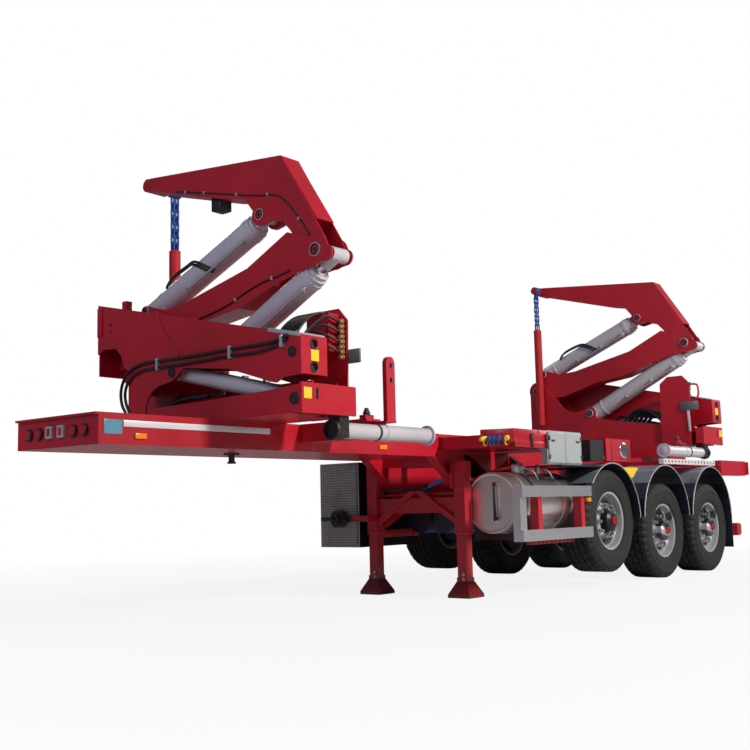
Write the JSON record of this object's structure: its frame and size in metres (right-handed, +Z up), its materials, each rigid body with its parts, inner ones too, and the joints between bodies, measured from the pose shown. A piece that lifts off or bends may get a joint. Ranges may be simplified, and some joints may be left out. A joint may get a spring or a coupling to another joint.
{
  "type": "side loader semi-trailer",
  "caption": "Red container side loader semi-trailer with folding cranes, stabilisers, landing legs, steel oil tank and raised twistlocks on a low frame.",
  "frame": {"origin": "on the ground, under the centre of the trailer's length and width", "axes": "+X towards the front of the trailer, +Y towards the lifting side (left), +Z up"},
  "size_m": [9.85, 2.54, 3.8569],
  "materials": {
    "red_paint": "gloss red paint",
    "dark_steel": "dark painted steel",
    "dark_plastic": "black moulded plastic",
    "polished_steel": "polished stainless steel",
    "alloy": "anodised extrusion",
    "grey_paint": "satin grey paint",
    "checker_plate": "rolled tread plate",
    "blue_black_paint": "gloss dark paint",
    "lamp_red": "moulded lens",
    "white_paint": "satin white paint",
    "tyre": "vulcanised rubber",
    "rim_silver": "silver paint",
    "chain_blue": "blue painted chain, padded sleeve",
    "lavender_paint": "pale lavender-grey paint",
    "chrome": "hard chrome"
  },
  "bodies": {
    "chassis": {"main_rails": "red_paint", "cross_members": "red_paint", "side_bed": "red_paint", "container_locks": "red_paint", "gooseneck": "red_paint", "kingpin": "dark_steel", "front_bolster": "red_paint", "rear_bolster": "red_paint", "landing_legs": "red_paint", "axles": "dark_steel", "suspension": "dark_steel", "fenders": "dark_plastic", "oil_tank": "polished_steel", "tank_brackets": "red_paint", "side_guard": "alloy", "control_box": "grey_paint", "canister": "red_paint", "power_pack_box": "checker_plate", "air_tanks": "blue_black_paint", "rear_bumper": "red_paint", "lamps": "lamp_red", "lock_bars": "white_paint"},
    "wheel_left_1": {"tyre_left_1": "tyre", "rim_left_1": "rim_silver"},
    "wheel_right_1": {"tyre_right_1": "tyre", "rim_right_1": "rim_silver"},
    "wheel_left_2": {"tyre_left_2": "tyre", "rim_left_2": "rim_silver"},
    "wheel_right_2": {"tyre_right_2": "tyre", "rim_right_2": "rim_silver"},
    "wheel_left_3": {"tyre_left_3": "tyre", "rim_left_3": "rim_silver"},
    "wheel_right_3": {"tyre_right_3": "tyre", "rim_right_3": "rim_silver"},
    "front_crane": {"front_crane_base": "red_paint", "front_stabiliser_frame": "red_paint"},
    "front_lower": {"front_lower_boom": "red_paint"},
    "front_upper": {"front_upper_boom": "red_paint"},
    "front_chain": {"front_lifting_chain": "chain_blue"},
    "front_lift_barrel_body": {"front_lift_barrel": "lavender_paint"},
    "front_lift_rod_body": {"front_lift_rod": "chrome"},
    "front_reach_barrel_body": {"front_reach_barrel": "lavender_paint"},
    "front_reach_rod_body": {"front_reach_rod": "chrome"},
    "front_ram_barrel_body": {"front_ram_barrel": "lavender_paint"},
    "front_ram_rod_body": {"front_ram_rod": "chrome"},
    "front_outrigger_body": {"front_outrigger": "red_paint", "front_stabiliser_leg": "lavender_paint"},
    "rear_crane": {"rear_crane_base": "red_paint", "rear_stabiliser_frame": "red_paint"},
    "rear_lower": {"rear_lower_boom": "red_paint"},
    "rear_upper": {"rear_upper_boom": "red_paint"},
    "rear_chain": {"rear_lifting_chain": "chain_blue"},
    "rear_lift_barrel_body": {"rear_lift_barrel": "lavender_paint"},
    "rear_lift_rod_body": {"rear_lift_rod": "chrome"},
    "rear_reach_barrel_body": {"rear_reach_barrel": "lavender_paint"},
    "rear_reach_rod_body": {"rear_reach_rod": "chrome"},
    "rear_ram_barrel_body": {"rear_ram_barrel": "lavender_paint"},
    "rear_ram_rod_body": {"rear_ram_rod": "chrome"},
    "rear_outrigger_body": {"rear_outrigger": "red_paint", "rear_stabiliser_leg": "lavender_paint"}
  },
  "joints": [
    {"name": "wheel_left_1_turn", "type": "hinge", "parent": "chassis", "child": "wheel_left_1", "pos_m": [-1.055, 1.02, 0.678], "axis": [0, 1, 0], "continuous": true},
    {"name": "wheel_right_1_turn", "type": "hinge", "parent": "chassis", "child": "wheel_right_1", "pos_m": [-1.055, -1.02, 0.678], "axis": [0, 1, 0], "continuous": true},
    {"name": "wheel_left_2_turn", "type": "hinge", "parent": "chassis", "child": "wheel_left_2", "pos_m": [-2.365, 1.02, 0.536], "axis": [0, 1, 0], "continuous": true},
    {"name": "wheel_right_2_turn", "type": "hinge", "parent": "chassis", "child": "wheel_right_2", "pos_m": [-2.365, -1.02, 0.536], "axis": [0, 1, 0], "continuous": true},
    {"name": "wheel_left_3_turn", "type": "hinge", "parent": "chassis", "child": "wheel_left_3", "pos_m": [-3.675, 1.02, 0.536], "axis": [0, 1, 0], "continuous": true},
    {"name": "wheel_right_3_turn", "type": "hinge", "parent": "chassis", "child": "wheel_right_3", "pos_m": [-3.675, -1.02, 0.536], "axis": [0, 1, 0], "continuous": true},
    {"name": "front_crane_slide", "type": "slide", "parent": "chassis", "child": "front_crane", "axis": [1, 0, 0], "range_m": [0, 1.1]},
    {"name": "front_lower_swing", "type": "hinge", "parent": "front_crane", "child": "front_lower", "pos_m": [3.235, -1.05, 2.41], "axis": [1, 0, 0], "range_deg": [0, 50]},
    {"name": "front_upper_swing", "type": "hinge", "parent": "front_lower", "child": "front_upper", "pos_m": [3.235, 1.082, 2.848], "axis": [1, 0, 0], "range_deg": [-110, 0]},
    {"name": "front_lift_swing", "type": "hinge", "parent": "front_crane", "child": "front_lift_barrel_body", "pos_m": [3.235, -0.266, 2.051], "axis": [1, 0, 0], "range_deg": [0, 56]},
    {"name": "front_lift_stroke", "type": "slide", "parent": "front_lift_barrel_body", "child": "front_lift_rod_body", "axis": [0, 0.888, 0.4599], "range_m": [0, 0.73]},
    {"name": "front_reach_swing", "type": "hinge", "parent": "front_lower", "child": "front_reach_barrel_body", "pos_m": [3.235, -0.962, 2.64], "axis": [1, 0, 0], "range_deg": [-11, 0]},
    {"name": "front_reach_stroke", "type": "slide", "parent": "front_reach_barrel_body", "child": "front_reach_rod_body", "axis": [0, 0.9197, 0.3927], "range_m": [0, 1.2]},
    {"name": "front_outrigger_slide", "type": "slide", "parent": "front_crane", "child": "front_outrigger_body", "axis": [0, 1, 0], "range_m": [0, 0.9]},
    {"name": "front_ram_swing", "type": "hinge", "parent": "front_crane", "child": "front_ram_barrel_body", "pos_m": [3.585, -0.165, 1.988], "axis": [1, 0, 0], "range_deg": [0, 6]},
    {"name": "front_ram_stroke", "type": "slide", "parent": "front_ram_barrel_body", "child": "front_ram_rod_body", "axis": [0, 0.9729, -0.231], "range_m": [0, 0.9]},
    {"name": "front_chain_swing", "type": "hinge", "parent": "front_upper", "child": "front_chain", "pos_m": [3.019, -0.972, 3.797], "axis": [1, 0, 0], "range_deg": [-50, 125]},
    {"name": "rear_crane_slide", "type": "slide", "parent": "chassis", "child": "rear_crane", "axis": [1, 0, 0], "range_m": [-0.5, 0]},
    {"name": "rear_lower_swing", "type": "hinge", "parent": "rear_crane", "child": "rear_lower", "pos_m": [-3.615, -1.05, 2.41], "axis": [1, 0, 0], "range_deg": [0, 50]},
    {"name": "rear_upper_swing", "type": "hinge", "parent": "rear_lower", "child": "rear_upper", "pos_m": [-3.615, 1.082, 2.848], "axis": [1, 0, 0], "range_deg": [-110, 0]},
    {"name": "rear_lift_swing", "type": "hinge", "parent": "rear_crane", "child": "rear_lift_barrel_body", "pos_m": [-3.615, -0.266, 2.051], "axis": [1, 0, 0], "range_deg": [0, 56]},
    {"name": "rear_lift_stroke", "type": "slide", "parent": "rear_lift_barrel_body", "child": "rear_lift_rod_body", "axis": [0, 0.888, 0.4599], "range_m": [0, 0.73]},
    {"name": "rear_reach_swing", "type": "hinge", "parent": "rear_lower", "child": "rear_reach_barrel_body", "pos_m": [-3.615, -0.962, 2.64], "axis": [1, 0, 0], "range_deg": [-11, 0]},
    {"name": "rear_reach_stroke", "type": "slide", "parent": "rear_reach_barrel_body", "child": "rear_reach_rod_body", "axis": [0, 0.9197, 0.3927], "range_m": [0, 1.2]},
    {"name": "rear_outrigger_slide", "type": "slide", "parent": "rear_crane", "child": "rear_outrigger_body", "axis": [0, 1, 0], "range_m": [0, 0.9]},
    {"name": "rear_ram_swing", "type": "hinge", "parent": "rear_crane", "child": "rear_ram_barrel_body", "pos_m": [-3.965, -0.165, 1.988], "axis": [1, 0, 0], "range_deg": [0, 6]},
    {"name": "rear_ram_stroke", "type": "slide", "parent": "rear_ram_barrel_body", "child": "rear_ram_rod_body", "axis": [0, 0.9729, -0.231], "range_m": [0, 0.9]},
    {"name": "rear_chain_swing", "type": "hinge", "parent": "rear_upper", "child": "rear_chain", "pos_m": [-3.399, -0.972, 3.797], "axis": [1, 0, 0], "range_deg": [-50, 125]}
  ],
  "couplings": [
    {"joint": "front_lift_swing", "follows": "front_lower_swing", "ratio": 1.0799},
    {"joint": "front_lift_stroke", "follows": "front_lower_swing", "m_per_rad": 0.82028},
    {"joint": "front_reach_swing", "follows": "front_upper_swing", "ratio": 0.08337},
    {"joint": "front_reach_stroke", "follows": "front_upper_swing", "m_per_rad": -0.60606},
    {"joint": "front_ram_swing", "follows": "front_outrigger_slide", "rad_per_m": 0.10152},
    {"joint": "front_ram_stroke", "follows": "front_outrigger_slide", "ratio": 0.98351},
    {"joint": "rear_lift_swing", "follows": "rear_lower_swing", "ratio": 1.0799},
    {"joint": "rear_lift_stroke", "follows": "rear_lower_swing", "m_per_rad": 0.82028},
    {"joint": "rear_reach_swing", "follows": "rear_upper_swing", "ratio": 0.08337},
    {"joint": "rear_reach_stroke", "follows": "rear_upper_swing", "m_per_rad": -0.60606},
    {"joint": "rear_ram_swing", "follows": "rear_outrigger_slide", "rad_per_m": 0.10152},
    {"joint": "rear_ram_stroke", "follows": "rear_outrigger_slide", "ratio": 0.98351}
  ]
}
